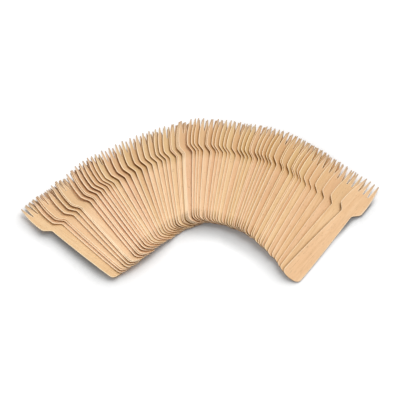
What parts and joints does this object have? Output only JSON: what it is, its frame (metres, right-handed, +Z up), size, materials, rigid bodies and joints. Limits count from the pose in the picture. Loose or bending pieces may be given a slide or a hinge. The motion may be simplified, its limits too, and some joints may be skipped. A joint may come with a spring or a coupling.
{
  "type": "fan of wooden forks",
  "caption": "Pack of plain disposable birch forks spread in a shingled fan, each fork leaning on the one before, with narrow necks, four tapered tines and broad rounded handles.",
  "frame": {"origin": "centre of the fan's box, on the table that the forks lie on", "axes": "+Z up; +X along the fan's longest extent, towards the last and topmost fork; +Y from the handle ends towards the tines of the middle forks"},
  "size_m": [0.4136, 0.258, 0.0226],
  "materials": {
    "birch": "matte"
  },
  "bodies": {
    "root": {"base_pile": "birch", "fork_01": "birch", "fork_02": "birch", "fork_05": "birch", "fork_06": "birch", "fork_09": "birch", "fork_12": "birch", "fork_13": "birch", "fork_14": "birch", "fork_15": "birch", "fork_16": "birch", "fork_17": "birch", "fork_18": "birch", "fork_19": "birch", "fork_20": "birch", "fork_21": "birch", "fork_22": "birch", "fork_23": "birch", "fork_24": "birch", "fork_25": "birch", "fork_26": "birch", "fork_27": "birch", "fork_28": "birch", "fork_35": "birch", "fork_36": "birch", "fork_37": "birch", "fork_38": "birch", "fork_41": "birch", "fork_42": "birch", "fork_43": "birch", "fork_44": "birch", "fork_45": "birch", "fork_46": "birch", "fork_47": "birch", "fork_48": "birch", "fork_49": "birch", "fork_52": "birch", "fork_53": "birch", "fork_54": "birch", "fork_55": "birch", "fork_58": "birch", "fork_61": "birch", "fork_64": "birch", "fork_65": "birch", "fork_66": "birch", "fork_67": "birch", "fork_68": "birch", "fork_69": "birch", "fork_70": "birch", "fork_71": "birch", "forks_03_to_04": "birch", "forks_07_to_08": "birch", "forks_10_to_11": "birch", "forks_29_to_30": "birch", "forks_31_to_34": "birch", "forks_39_to_40": "birch", "forks_50_to_51": "birch", "forks_56_to_57": "birch", "forks_59_to_60": "birch", "forks_62_to_63": "birch"}
  },
  "joints": []
}
